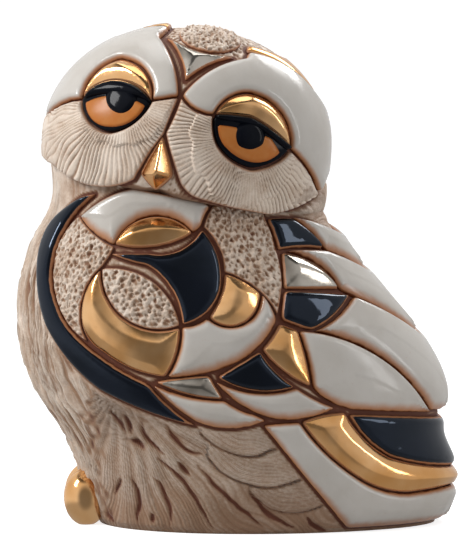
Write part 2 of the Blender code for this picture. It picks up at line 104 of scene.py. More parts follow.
# An outline is a ring of corners, anticlockwise: x, height, and how far the side after it bows outwards.
WING_CELLS = {
    "leading_edge": ("black_glaze", [
        (-30.6, 72.2, 0.0), (-34.0, 71.6, 2.0), (-43.4, 58.0, 0.9), (-41.7, 43.3, 1.1), (-30.1, 29.5, 0.8),
        (-8.8, 21.5, -0.7), (-19.6, 30.8, -1.0), (-36.3, 42.3, -1.0), (-40.6, 54.5, -2.3)]),
    "roundel_white_arch": ("white_glaze", [
        (-34.5, 66.6, 0.8), (-27.0, 60.6, -5.0), (-10.3, 63.2, 0.1), (-8.4, 64.8, -0.3),
        (-6.4, 69.0, 1.4), (-20.0, 73.6, 1.7)]),
    "roundel_gold_lens": ("gold_lustre", [(-27.2, 60.8, 1.8), (-10.1, 63.3, 5.0)]),
    "roundel_black": ("black_glaze", [
        (-28.6, 59.0, 0.3), (-20.0, 56.3, -1.9), (-12.6, 43.4, 1.7), (-4.2, 51.0, 1.6), (-8.4, 64.3, -2.1),
        (-19.5, 59.0, 0.0)]),
    "roundel_gold_crescent": ("gold_lustre", [
        (-29.9, 55.8, 1.2), (-34.3, 45.6, 1.3), (-29.6, 37.7, 1.1), (-16.0, 32.2, 1.0), (-12.8, 43.2, -5.9)]),
    "roundel_white_crescent": ("white_glaze", [
        (-16.0, 32.1, 1.1), (0.5, 35.9, 0.9), (8.0, 44.4, 0.4), (4.4, 50.4, -0.1), (4.2, 48.4, -3.7),
        (-7.2, 45.2, -0.6), (-12.7, 43.2, -1.0)]),
    "roundel_gold_gem": ("gold_lustre", [
        (-3.5, 54.8, -0.8), (-7.0, 45.2, 3.7), (4.2, 48.4, 0.1), (4.4, 50.3, 0.5)]),
    "covert_black_top": ("black_glaze", [
        (5.6, 66.6, -0.2), (8.0, 59.6, -0.4), (17.9, 59.8, 0.6), (10.6, 66.8, 0.1)]),
    "covert_platinum_top": ("platinum_lustre", [(8.7, 59.2, 0.0), (9.3, 51.1, 0.0), (21.4, 51.1, 1.9)]),
    "covert_black_mid": ("black_glaze", [
        (9.3, 50.8, 0.2), (8.7, 44.5, 0.1), (15.2, 42.2, 1.1), (23.6, 49.8, 0.2)]),
    "covert_gold": ("gold_lustre", [
        (4.4, 38.3, 1.0), (15.4, 29.9, 0.4), (12.4, 42.4, 0.0), (8.2, 43.9, -0.3)]),
    "covert_black_low": ("black_glaze", [(-5.2, 32.3, 2.0), (12.0, 30.0, -0.7), (4.2, 38.0, 0.0)]),
    "covert_platinum_low": ("platinum_lustre", [(-18.6, 31.3, 1.0), (-3.4, 27.4, 0.0), (-6.6, 32.7, 0.3)]),
    "covert_white_1": ("white_glaze", [
        (-5.8, 31.8, 0.8), (3.3, 24.4, 0.4), (10.6, 22.8, 0.6), (20.8, 25.5, -0.4), (12.0, 30.0, -2.0)]),
    "covert_white_2": ("white_glaze", [
        (-19.2, 31.0, 0.6), (-9.6, 22.6, 1.8), (6.2, 23.0, -0.2), (3.3, 24.2, -0.5), (-3.2, 27.3, -1.0)]),
    "feather_1": ("white_glaze", [
        (10.8, 66.9, -0.6), (18.2, 59.6, -0.8), (31.5, 51.4, 0.0), (35.0, 53.0, 0.0), (26.5, 59.0, 0.5),
        (17.8, 65.0, 0.4)]),
    "feather_2": ("white_glaze", [
        (8.8, 59.4, -1.9), (21.4, 51.1, 0.0), (24.4, 49.5, -0.8), (40.1, 39.6, -0.3), (46.0, 33.5, 0.0),
        (52.0, 44.0, 0.0), (35.0, 53.0, 0.0), (31.5, 51.4, 0.8), (18.0, 59.6, 0.3)]),
    "feather_3": ("white_glaze", [
        (15.2, 42.0, -3.6), (41.3, 24.6, 0.0), (52.0, 24.6, 0.0), (52.0, 34.0, 0.0), (46.0, 33.5, 0.3),
        (40.1, 39.6, 0.8), (24.2, 49.5, -1.1)]),
    "feather_4": ("white_glaze", [
        (12.4, 42.3, -0.4), (15.5, 29.8, 0.9), (24.9, 24.9, 0.1), (41.3, 24.2, 3.6), (15.2, 42.0, 0.0)]),
    "tail_black": ("black_glaze", [
        (23.2, 24.2, 1.0), (32.3, 14.7, 0.7), (48.0, 12.2, 0.0), (54.0, 12.2, 0.0), (54.0, 23.4, 0.0),
        (41.3, 23.4, 0.0)]),
    "tail_gold": ("gold_lustre", [
        (12.9, 22.6, 1.0), (25.7, 10.0, 0.85), (36.7, 6.8, 0.2), (48.0, 8.6, 0.0), (54.0, 8.6, 0.0),
        (54.0, 12.2, 0.0), (48.0, 12.2, -0.7), (32.3, 14.6, -1.0), (22.6, 24.6, 0.5)]),
    "tail_white": ("white_glaze", [
        (4.6, 22.0, 0.0), (24.4, -2.6, 0.0), (54.0, -2.0, 0.0), (54.0, 8.6, 0.0), (48.0, 8.6, -0.2),
        (36.7, 6.7, -0.85), (25.7, 9.9, -1.0), (12.8, 22.6, 0.0)]),
}

FACE_CELLS = {
    "right_upper_disc": ("white_glaze", [
        (-12.6, 93.0, 1.1), (-5.7, 88.9, -1.4), (1.8, 93.7, -3.0), (10.5, 81.7, -0.9), (16.6, 72.6, 0.3),
        (19.3, 82.0, 1.2), (15.0, 94.4, 1.6), (1.3, 102.3, -0.1), (0.9, 101.0, 1.6)]),
    "left_upper_disc": ("white_glaze", [
        (-42.8, 87.2, -1.5), (-33.9, 92.5, -1.9), (-25.5, 101.2, -2.6), (-19.0, 91.9, 0.0),
        (-13.2, 92.8, 1.2), (-17.4, 105.8, 0.0), (-15.4, 107.8, 0.1), (-20.5, 107.3, 0.1),
        (-25.5, 105.7, 0.2), (-31.5, 104.6, 0.8), (-40.5, 98.0, 0.4), (-44.0, 88.0, 0.0)]),
    "forehead_star": ("platinum_lustre", [(-17.0, 106.8, -1.3), (-12.0, 96.0, -1.4), (1.9, 101.7, -1.8)]),
    "right_eyelid": ("gold_lustre", [
        (-5.7, 88.9, 0.0), (2.0, 88.4, -0.6), (10.5, 81.8, 3.0), (1.8, 93.6, 1.4)]),
    "left_eyelid": ("gold_lustre", [(-33.9, 92.5, -4.4), (-19.0, 91.3, 2.6), (-25.5, 101.1, 1.9)]),
    "right_eye_black": ("black_glaze", [
        (-5.8, 88.7, 0.5), (-5.0, 82.4, 0.9), (2.2, 77.4, 1.0), (10.4, 81.6, 0.6), (2.0, 88.3, 0.0)]),
    "left_eye_black": ("black_glaze", [(-33.9, 92.4, 1.9), (-27.8, 85.2, 1.4), (-19.0, 91.2, 4.4)]),
    "right_crown_crescent": ("gold_lustre", [
        (1.2, 102.7, -1.5), (15.3, 94.6, -0.5), (19.4, 86.6, 0.3), (15.9, 96.2, 1.6), (1.2, 104.2, 0.0)]),
    "left_crown_crescent": ("gold_lustre", [
        (-31.0, 104.6, 0.0), (-25.5, 105.8, -0.2), (-20.5, 107.4, -0.1), (-15.2, 107.9, 0.0),
        (-14.6, 109.4, 0.1), (-21.0, 109.6, 0.2)]),
}
BEAK_CORNERS = [(-21.5, 76.4), (-18.2, 72.6), (-14.4, 75.8), (-16.7, 84.4)]


def smooth(heights, values, at):
    """A smooth curve through the values given at the heights, read off at other heights."""
    slopes = np.gradient(values, heights)
    low = np.clip(np.searchsorted(heights, at) - 1, 0, len(heights) - 2)
    step = heights[low + 1] - heights[low]
    t = (at - heights[low]) / step
    start = (2 * t**3 - 3 * t**2 + 1) * values[low] + (t**3 - 2 * t**2 + t) * step * slopes[low]
    end = (3 * t**2 - 2 * t**3) * values[low + 1] + (t**3 - t**2) * step * slopes[low + 1]
    return start + end


def body_section(height):
    """Middle x, half width and half depth of the body at a height."""
    heights, breast, tail, depth = np.array(BODY_SECTIONS).T
    at = np.clip(height, heights[0], heights[-1])
    left = smooth(heights, breast, at)
    right = smooth(heights, tail, at)
    return (left + right) / 2, (right - left) / 2, smooth(heights, depth, at)


def body_point(turn, height):
    """A point on the body. turn is 0 at the tail, pi/2 on the near side and pi at the breast."""
    middle, half_width, half_depth = body_section(height)
    x = middle + half_width * np.cos(turn)
    y = -half_depth * np.sin(turn) * (1 - BREAST_FULLNESS * np.cos(turn))
    return np.stack([x, y, height + 0 * x], axis=-1)


def lay_on_body(flat, lift):
    """From the unrolled body (turned length, height) to points that stand lift above it."""
    turn, height = -flat[:, 0] / SPREAD, flat[:, 1]
    small = 0.01
    across = body_point(turn - small, height) - body_point(turn + small, height)
    up = body_point(turn, height + small) - body_point(turn, height - small)
    normal = np.cross(across, up)
    normal /= np.linalg.norm(normal, axis=1, keepdims=True)
    return body_point(turn, height) + lift * normal


def unroll_on_body(drawn):
    """From the side drawing to the unrolled body. What is drawn past the outline ends on the ridge."""
    height = drawn[:, 1].copy()
    for _ in range(6):
        middle, half_width, half_depth = body_section(height)
        cosine = np.clip((drawn[:, 0] - middle) / half_width, -1, 1)
        turn = np.arccos(cosine)
        near = half_depth * np.sin(turn) * (1 - BREAST_FULLNESS * cosine)
        height = drawn[:, 1] + LEAN * near
    top = neck_height(body_point(turn, height)[:, 0]) - 2 * GAP
    return np.stack([-SPREAD * turn, np.clip(height, GROOVE, top)], axis=1)


def lay_on_head(flat, lift):
    """From the unrolled head to points that stand lift above it."""
    reach = np.maximum(np.linalg.norm(flat, axis=1), 1e-9)
    angle = reach / HEAD_SPREAD
    direction = np.stack([
        np.sin(angle) * flat[:, 0] / reach,
        -np.cos(angle),
        np.sin(angle) * flat[:, 1] / reach], axis=1)
    tall = np.where(direction[:, 2] > 0, HEAD_RISE, HEAD_DROP)
    radii = np.stack([np.full(len(flat), HEAD_HALF_WIDTH), np.full(len(flat), HEAD_HALF_DEPTH), tall], axis=1)
    normal = direction / radii
    normal /= np.linalg.norm(normal, axis=1, keepdims=True)
    return HEAD_CENTRE + direction * radii + lift * normal


def unroll_on_head(drawn):
    """From the side drawing to the unrolled head. What is drawn past the outline runs on round the back."""
    side = (drawn[:, 0] - HEAD_CENTRE[0]) / HEAD_HALF_WIDTH
    near = np.zeros(len(drawn))
    for _ in range(6):
        rise = drawn[:, 1] + LEAN * near - HEAD_CENTRE[2]
        up = rise / np.where(rise > 0, HEAD_RISE, HEAD_DROP)
        radius = np.maximum(np.hypot(side, up), 1e-9)
        near = HEAD_HALF_DEPTH * np.sqrt(np.maximum(1 - radius**2, 0))
    angle = np.where(radius < 1, np.arcsin(np.minimum(radius, 1)), math.pi / 2 + radius - 1)
    return HEAD_SPREAD * (angle / radius)[:, None] * np.stack([side, up], axis=1)


def neck_height(x):
    return NECK_HEIGHT + NECK_SLOPE * x


def drawn_ring(corners, spacing):
    """Points along an outline whose sides are arcs, each given by its bow."""
    points = []
    for (x, z, bow), (next_x, next_z, _) in zip(corners, corners[1:] + corners[:1]):
        start, end = np.array([x, z]), np.array([next_x, next_z])
        chord = end - start
        length = np.linalg.norm(chord)
        outward = np.array([chord[1], -chord[0]]) / length
        half_angle = 2 * math.atan(2 * bow / length)
        for t in np.arange(0, 1, spacing / length):
            if abs(half_angle) < 1e-3:
                points.append(start + t * chord)
                continue
            radius = length / 2 / math.sin(half_angle)
            swing = (2 * t - 1) * half_angle
            along = radius * math.sin(swing) / length
            out = radius * (math.cos(swing) - math.cos(half_angle))
            points.append(start + (0.5 + along) * chord + out * outward)
    return np.array(points)


def edge_distance(points, ring):
    """Distance from each point to the nearest side of a ring, in blocks so that it fits in memory."""
    side = np.roll(ring, -1, axis=0) - ring
    squared = np.maximum((side**2).sum(1), 1e-12)
    found = [np.zeros(0)]
    for at in range(0, len(points), BLOCK):
        away = points[at:at + BLOCK, None] - ring[None]
        t = np.clip((away * side).sum(2) / squared, 0, 1)
        found.append(np.linalg.norm(away - t[..., None] * side, axis=2).min(axis=1))
    return np.concatenate(found)


def inside(points, ring):
    """Whether each point is inside a ring."""
    x, y = points[:, 0, None], points[:, 1, None]
    start, end = ring, np.roll(ring, -1, axis=0)
    crosses = (start[:, 1] > y) != (end[:, 1] > y)
    rise = np.where(end[:, 1] == start[:, 1], 1e-12, end[:, 1] - start[:, 1])
    at = start[:, 0] + (y - start[:, 1]) * (end[:, 0] - start[:, 0]) / rise
    return (crosses & (x < at)).sum(axis=1) % 2 == 1


def inset(ring, distance):
    """The ring moved inwards by a distance, without the stretches that would cross."""
    keep = np.linalg.norm(np.roll(ring, -1, axis=0) - ring, axis=1) > 1e-4
    ring = ring[keep]
    along = np.roll(ring, -1, axis=0) - np.roll(ring, 1, axis=0)
    inward = np.stack([-along[:, 1], along[:, 0]], axis=1)
    inward /= np.maximum(np.linalg.norm(inward, axis=1, keepdims=True), 1e-9)
    moved = ring + distance * inward
    clear = (edge_distance(moved, ring) > 0.97 * distance) & inside(moved, ring)
    return moved[clear]


# ---- Outlines that only the fine surfaces have

# Bare pads of bisque between the cells: the same kind of outline, with the texture they carry.
WING_PADS = {
    "stipple_front": [
        (-34.7, 67.2, 1.3), (-40.3, 56.0, 1.3), (-36.6, 42.9, 0.2), (-32.6, 39.6, -0.5), (-34.3, 45.6, -1.2),
        (-29.9, 55.8, 0.0), (-28.0, 58.4, 0.0), (-27.0, 60.4, -0.8)],
    "stipple_lens": [(-29.8, 55.8, 5.9), (-12.8, 43.4, 4.2)],
    "stipple_back": [
        (-6.0, 69.4, 0.2), (-8.1, 64.6, -1.2), (-3.6, 54.9, -0.5), (4.4, 50.4, -0.4), (8.0, 45.0, 0.1),
        (9.1, 52.0, 0.3), (7.6, 60.0, 0.2), (5.3, 66.6, 0.0), (4.6, 69.6, 0.0)],
}
LEFT_DISC = [
    (-43.0, 86.8, 0.4), (-41.6, 79.6, 0.4), (-34.7, 74.5, 1.4), (-22.6, 75.0, -0.3), (-16.4, 84.6, 0.0),
    (-13.2, 92.6, 0.0), (-19.0, 91.8, -1.4), (-27.8, 85.1, -1.9), (-33.9, 92.3, 1.5)]
RIGHT_DISC = [
    (-12.7, 92.8, -0.2), (-16.1, 85.0, 0.2), (-13.0, 74.2, 0.6), (-8.8, 70.7, 0.3), (5.9, 67.4, 0.9),
    (16.4, 72.0, 0.95), (10.5, 81.5, -1.0), (2.2, 77.3, -0.9), (-5.0, 82.3, -0.5), (-5.8, 88.7, -1.1)]
CROWN_CENTRE = (-6.4, 106.5)
CROWN_RADIUS = 8.4

# Each eye: its middle in the drawing, the pupil's radius, the iris and the lash.
EYES = {
    "left": ((-25.3, 92.1), 3.8,
             [(-33.2, 91.7, 1.7), (-27.8, 86.0, 1.5), (-19.8, 90.8, 2.0)],
             [(-33.5, 92.1, -1.5), (-18.6, 91.0, 4.6)]),
    "right": ((1.6, 84.2), 3.8,
              [(-5.3, 87.0, 0.4), (-4.4, 82.7, 0.9), (2.3, 78.3, 0.9), (8.6, 81.0, 0.0), (6.5, 84.2, 0.6)],
              [(-5.6, 87.8, 0.0), (-1.6, 87.2, 0.0), (3.0, 86.2, 0.0), (5.9, 84.2, 0.0), (9.4, 81.2, 0.0),
               (11.0, 82.0, 0.4), (2.2, 88.4, 0.2), (-5.6, 89.0, 0.0)]),
}

# ---- Fine surface sizes

CELL_HEIGHT = 1.8  # crown of a cell above its casting
CREST_HEIGHTS = {"left_crown_crescent": 1.5, "right_crown_crescent": 0.9}
CELL_ROUND = 1.5  # how far in from its edge a cell is rounded
CELL_STEP = 0.5  # mesh size on a glazed cell
PAD_STEP = 0.25  # mesh size on a carved pad
FLUTE_STEP = 0.21  # mesh size on a face disc
PAD_HEIGHT = 0.7
SEAM = 0.1  # how far a cell stops short of its drawn outline
RIM_STEPS = (0.14, 0.32, 0.58, 0.92)  # rows of points that follow a cell's edge
ROOT_DEPTH = -0.4  # how far a cell reaches into its casting
PIT_PITCH = 1.22  # of the stipple: spacing, radius, depth and stain of its pits
PIT_RADIUS = 0.56
PIT_DEPTH = 0.42
PIT_STAIN = 0.4
PIT_JITTER = 0.3  # how far a pit strays, in pitches
PIT_SQUASH = np.array([1.0, 0.82])  # pits are a little taller than wide
CROWN_PIT_RADIUS, CROWN_PIT_DEPTH, CROWN_PIT_STAIN = 0.58, 0.36, 0.7
ROOF_SLOPE = 0.55  # of the facets on a lustred cell
ROOF_REACH = 2.6  # how far in from the edge the facets rise
OVERLAP_AND_SHADE = 2.0  # how much wider a feather's lower edge is rounded than its upper, and how much wider its painted shade reaches there
BODY_STEP = HEAD_STEP = 0.42  # mesh size on the castings
BODY_TALL = 82.0  # rim of the neck joint at its highest
HEAD_ARC = 52.0  # from the crown to the neck joint, over the surface
RING_STEP = 0.4  # spacing of the points that mark the cells' edges
FAR_FROM_EDGE = 5.0  # edge distance given to bare clay
FLUTES = 96  # round a whole face disc
FLUTE_DEPTH = 0.58
FLUTE_STAIN = 0.4
LOCK_LENGTH, LOCK_WIDTH = 15.0, 3.6  # of the breast's carved locks
HAIR_WIDTH = 1.05
TUFTS = 4096  # random shifts that the locks draw on
SEED = 7


def mesh_object(name, points, faces, material, attributes):
    """A smooth piece from points in millimetres, with one number a point for each attribute."""
    mesh = bpy.data.meshes.new(name)
    mesh.from_pydata((np.asarray(points, dtype=float) * MM).tolist(), [], faces)
    for key, values in attributes.items():
        layer = mesh.attributes.new(key, "FLOAT", "POINT")
        layer.data.foreach_set("value", np.asarray(values, dtype=np.float32))
    mesh.materials.append(material)
    mesh.shade_smooth()
    form = bmesh.new()
    form.from_mesh(mesh)
    bmesh.ops.recalc_face_normals(form, faces=form.faces)
    form.to_mesh(mesh)
    form.free()
    obj = bpy.data.objects.new(name, mesh)
    bpy.context.scene.collection.objects.link(obj)
    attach(obj, "root")
    return obj


def band(first, second, count):
    """Quads between two closed rows of points."""
    following = [(at + 1) % count for at in range(count)]
    return [(first + at, first + after, second + after, second + at) for at, after in enumerate(following)]


def grid_faces(rows, count):
    """Quads of a grid that closes on itself across each row."""
    return [face for row in range(rows - 1) for face in band(row * count, (row + 1) * count, count)]


def fan(first, count, tip):
    """Triangles from a closed row of points to a tip."""
    return [(first + at, first + (at + 1) % count, tip) for at in range(count)]


def directions(polar, turn):
    """Unit vectors at angles down from +Z and round from +X."""
    return np.stack([np.sin(polar) * np.cos(turn), np.sin(polar) * np.sin(turn), np.cos(polar)], axis=1)


def circle(middle, radius, count):
    turn = np.linspace(0, 2 * math.pi, count, endpoint=False)
    return np.array(middle) + radius * np.stack([np.cos(turn), np.sin(turn)], axis=1)


def resampled(ring, spacing):
    """The ring with evenly spaced points."""
    closed = np.vstack([ring, ring[:1]])
    along = np.concatenate([[0], np.cumsum(np.linalg.norm(np.diff(closed, axis=0), axis=1))])
    count = max(int(along[-1] / spacing), 8)
    at = np.linspace(0, along[-1], count, endpoint=False)
    return np.stack([np.interp(at, along, closed[:, axis]) for axis in (0, 1)], axis=1)


def softened(ring, rounds):
    """The ring with its corners worn round."""
    for _ in range(rounds):
        ring = 0.5 * ring + 0.25 * (np.roll(ring, 1, axis=0) + np.roll(ring, -1, axis=0))
    return ring


def filled(ring, spacing, rim_steps):
    """A triangle mesh inside a ring, with rows of points that follow its edge."""
    layers = [ring]
    for depth in rim_steps:
        row = inset(ring, depth)
        if len(row) > 6:
            layers.append(row)
    low, high = ring.min(axis=0), ring.max(axis=0)
    rows = np.arange(low[1], high[1], spacing * math.sqrt(3) / 2)
    columns = np.arange(low[0], high[0], spacing)
    grid = np.array([(x + (index % 2) * spacing / 2, y) for index, y in enumerate(rows) for x in columns])
    depth = edge_distance(grid, ring)
    start = (rim_steps[-1] if rim_steps else 0) + spacing * 0.55
    grid = grid[inside(grid, ring) & (depth > start)]
    flat = [Vector(point) for point in np.vstack(layers + [grid])]
    count = len(ring)
    sides = [(index, (index + 1) % count) for index in range(count)]
    points, _, faces, *_ = delaunay_2d_cdt(flat, sides, [], 1, 1e-5)
    return np.array([tuple(point) for point in points]), [tuple(face) for face in faces], count


def roof(depth):
    """Height of a faceted cell: flat facets that rise from every edge and meet in ridges."""
    reach = ROOF_REACH * (1 - np.exp(-depth / ROOF_REACH * 1.6)) / (1 - math.exp(-1.6))
    straight = np.minimum(depth, ROOF_REACH)
    return 0.45 * np.clip(depth / 0.25, 0, 1) + ROOF_SLOPE * (0.75 * straight + 0.25 * reach)


def dome(depth, height, radius):
    """Height of a rounded cell at a distance in from its edge."""
    near = np.clip(depth / radius, 0, 1)
    return height * (np.sqrt(1 - (1 - near) ** 2) * 0.86 + 0.14 * (1 - np.exp(-depth / 3.0)))


def raised_piece(name, ring, lay, material, height, radius, step, texture=None, overlap_and_shade=0.0, far=False):
    """A closed, rounded cell on a casting. texture adds relief and stain to its top."""
    ring = softened(resampled(ring, min(step, 0.4)), 2)
    flat, faces, count = filled(ring, step, RIM_STEPS if step > 0.3 else RIM_STEPS[:2])
    depth = edge_distance(flat, ring)
    # Towards a lower edge the rounding spreads wider, and so does the tan and brown rim that edge drives: the
    # wider rim there is painted shade under the overlapping feather.
    edge = depth / (1 + overlap_and_shade * above_edge(flat, ring))
    lift = height(edge) if callable(height) else dome(edge, height, radius)
    stain = np.zeros(len(flat))
    if texture:
        relief, stain = texture(flat)
        lift = lift + relief * np.clip(depth / 0.6, 0, 1)
    top = lay(flat, lift[:, None])
    # The first points are the ring itself, so the underside and the wall use them again.
    under = lay(flat[:count], ROOT_DEPTH)
    _, _, under_faces, *_ = delaunay_2d_cdt(
        [Vector(point) for point in flat[:count]],
        [(index, (index + 1) % count) for index in range(count)], [], 1, 1e-7)
    base = len(flat)
    faces = faces + band(0, base, count) + [tuple(base + corner for corner in face) for face in under_faces]
    points = np.vstack([top, under])
    if far:
        points = points * np.array([1, -1, 1])
    attributes = {
        "edge": np.concatenate([edge, np.zeros(count)]),
        "stain": np.concatenate([stain, np.ones(count)]),
    }
    return mesh_object(name, points, faces, material, attributes)


def above_edge(flat, ring):
    """1 where the nearest edge lies straight below a point, 0 where it lies beside or above it."""
    dense = resampled(ring, 0.2)
    distance, index = nearest_point(with_zero(flat), with_zero(dense))
    return np.clip((flat - dense[index])[:, 1] / np.maximum(distance, 0.05), 0, 1)


def with_zero(flat):
    return np.column_stack([flat, np.zeros(len(flat))])


# ---- Carved textures


def wander(flat, scale, seed):
    """Smooth noise between about -1 and 1: a few waves in seeded directions."""
    random = np.random.default_rng(seed)
    total = np.zeros(len(flat))
    for _ in range(6):
        heading = random.uniform(0, 2 * math.pi)
        length = scale * random.uniform(0.6, 1.6)
        wave = flat[:, 0] * math.cos(heading) + flat[:, 1] * math.sin(heading)
        total += np.sin(2 * math.pi * wave / length + random.uniform(0, 2 * math.pi))
    return total / 3


def ramp(values, low, high):
    """0 below low, 1 above high, and smooth between."""
    t = np.clip((values - low) / (high - low), 0, 1)
    return t * t * (3 - 2 * t)


def nearest_point(points, places):
    """Distance from each point to the nearest place, and that place's number."""
    tree = KDTree(len(places))
    for index, place in enumerate(places):
        tree.insert(place, index)
    tree.balance()
    found = [tree.find(point) for point in points]
    return np.array([item[2] for item in found]), np.array([item[1] for item in found])


def stipple(flat):
    """Pits pushed into the clay in a loose honeycomb."""
    random = np.random.default_rng(SEED)
    low, high = flat.min(axis=0) - PIT_PITCH, flat.max(axis=0) + PIT_PITCH
    rows = np.arange(low[1], high[1], PIT_PITCH * 0.87)
    columns = np.arange(low[0], high[0], PIT_PITCH)
    places = np.array([(x + (index % 2) * PIT_PITCH / 2, y) for index, y in enumerate(rows) for x in columns])
    places += random.uniform(-PIT_JITTER, PIT_JITTER, (len(places), 2)) * PIT_PITCH
    sizes = random.uniform(0.75, 1.2, len(places))
    warped = flat + 0.2 * np.stack([wander(flat, 1.6, 3), wander(flat, 1.6, 4)], axis=1)
    distance, index = nearest_point(with_zero(warped * PIT_SQUASH), with_zero(places * PIT_SQUASH))
    inner = np.clip(1 - distance / (PIT_RADIUS * sizes[index]), 0, 1)
    pit = ramp(inner, 0.0, 0.8)
    relief = -PIT_DEPTH * pit + 0.2 * wander(flat, 1.3, 5) + 0.08 * wander(flat, 4.0, 6)
    return relief, PIT_STAIN * pit * sizes[index] ** 3 + 0.1


def fluting(centre, tier):
    """Flutes that fan out from the eye in two tiers, the outer one tucked under the inner."""
    def texture(flat):
        away = flat - centre
        reach = np.linalg.norm(away, axis=1)
        angle = np.arctan2(away[:, 1], away[:, 0])
        outer = ramp(reach + 0.6 * wander(flat, 5.0, 8), tier - 0.25, tier + 0.25)
        turns = angle * FLUTES / (2 * math.pi) + 0.5 * wander(flat, 7.0, 9) * (reach / 14) + 0.5 * outer
        swell = np.abs(np.sin(math.pi * turns))
        flute = np.floor(turns)
        deep = 0.8 + 0.35 * np.sin(12.9 * flute) + 0.2 * wander(flat, 4.0, 10)
        step = 0.55 * (reach / tier) * (1 - outer) + 0.45 * ((reach - tier) / tier) * outer
        relief = FLUTE_DEPTH * deep * (swell ** 0.7 - 0.6) + step - 0.25
        valley = (1 - ramp(swell, 0.1, 0.75)) * np.clip(deep, 0.3, 1)
        return relief, FLUTE_STAIN * valley
    return texture


def bricks(along, across, length, width, seed):
    """Staggered strokes: distance to the nearest, how open it is there, and the place along its row."""
    random = np.random.default_rng(seed)
    row = np.floor(along / length)
    column = across / width + 0.5 * (row % 2)
    line = np.round(column)
    jitter = random.uniform(-0.25, 0.25, TUFTS)
    key = ((row * 57 + line * 131) % TUFTS).astype(int)
    phase = along / length - row + jitter[key] * 0.6
    off = (column - line - jitter[key]) * width
    taper = np.sin(math.pi * np.clip((phase - 0.1) / 0.75, 0, 1))
    return off, taper, along / length - row


def breast_feathers(flat):
    """Long hair-like locks that hang down the breast."""
    sway = 1.3 * wander(flat / np.array([1, 3]), 14.0, 20) + 0.35 * wander(flat, 7.0, 21)
    across = flat[:, 0] + sway
    along = -flat[:, 1] + 2.5 * wander(flat, 9.0, 22)
    off, taper, phase = bricks(along, across, LOCK_LENGTH, LOCK_WIDTH, 23)
    stroke = np.exp(-(off / 0.4) ** 2) * taper
    strand = (across + 0.25 * wander(flat / np.array([1, 4]), 3.0, 24)) / HAIR_WIDTH
    hair = np.sin(2 * math.pi * strand)
    coarse = np.sin(2 * math.pi * across / 2.9 + 1.5 * wander(flat / np.array([1, 4]), 8.0, 25))
    tuft = 1 - (2 * phase - 1) ** 2
    carve = 1 - 0.8 * ramp(flat[:, 1], 63.0, 72.0)  # the throat is almost smooth
    relief = carve * (0.2 * hair + 0.45 * coarse - 0.7 * stroke + 0.3 * tuft)
    stain = carve * (0.7 * stroke + 0.12 * (1 - hair) + 0.34 * np.clip(-coarse, 0, 1) ** 2)
    return relief, stain, strand * 2.3


FAN_CENTRE = np.array([-26.5, 30.0])  # where the belly strokes fan out from, in the side drawing
# Carved strokes of the belly: where each starts and ends, and how far it bows to the right of its way.
BELLY_CUTS = [
    (-28.6, 25.4, -25.2, 20.2, -0.3), (-25.4, 24.4, -23.6, 19.6, -0.3), (-21.6, 23.4, -16.0, 15.7, 1.6),
    (-15.8, 21.8, -8.0, 15.3, 1.3), (-9.4, 13.4, 5.0, -0.6, 0.5), (-18.5, 14.8, -6.0, -0.8, -1.5),
    (-18.9, 10.4, -14.9, 0.2, -1.0), (-23.6, 10.4, -22.8, 0.3, -0.9), (-25.7, 10.6, -28.0, 6.5, -0.4),
    (-24.0, 18.6, -20.6, 16.2, -0.5), (-13.0, 13.6, -11.4, 10.8, 0.2), (2.0, 7.2, 12.0, -0.6, 1.2),
    (-29.8, 4.8, -27.4, 0.0, 0.4), (-19.2, 2.6, -18.8, 0.0, 0.0), (14.4, 1.6, 19.0, -1.6, 0.6),
    (24.0, 1.4, 30.0, -1.4, 0.6), (34.0, 3.4, 42.0, -0.6, 0.8),
]
CUT_WIDTH = 0.42
# Belly feathers by the tail: centre, radius.
SCALES = [(1.9, 28.3, 13.2), (5.9, 24.5, 16.2), (11.6, 14.6, 12.1)]


def carved(drawn, cuts):
    """How deep each point lies in a carved stroke: 1 along its middle, 0 beside it and at its ends."""
    places, widths = [], []
    for x, z, end_x, end_z, bow in cuts:
        there_and_back = drawn_ring([(x, z, bow), (end_x, end_z, -bow)], 0.25)
        line = there_and_back[:len(there_and_back) // 2 + 1]
        places.append(line)
        widths.append(np.sin(math.pi * np.linspace(0.04, 0.96, len(line))) ** 0.6)
    distance, index = nearest_point(with_zero(drawn), with_zero(np.vstack(places)))
    width = np.concatenate(widths)[index]
    return np.exp(-(distance / (CUT_WIDTH * width)) ** 2) * width


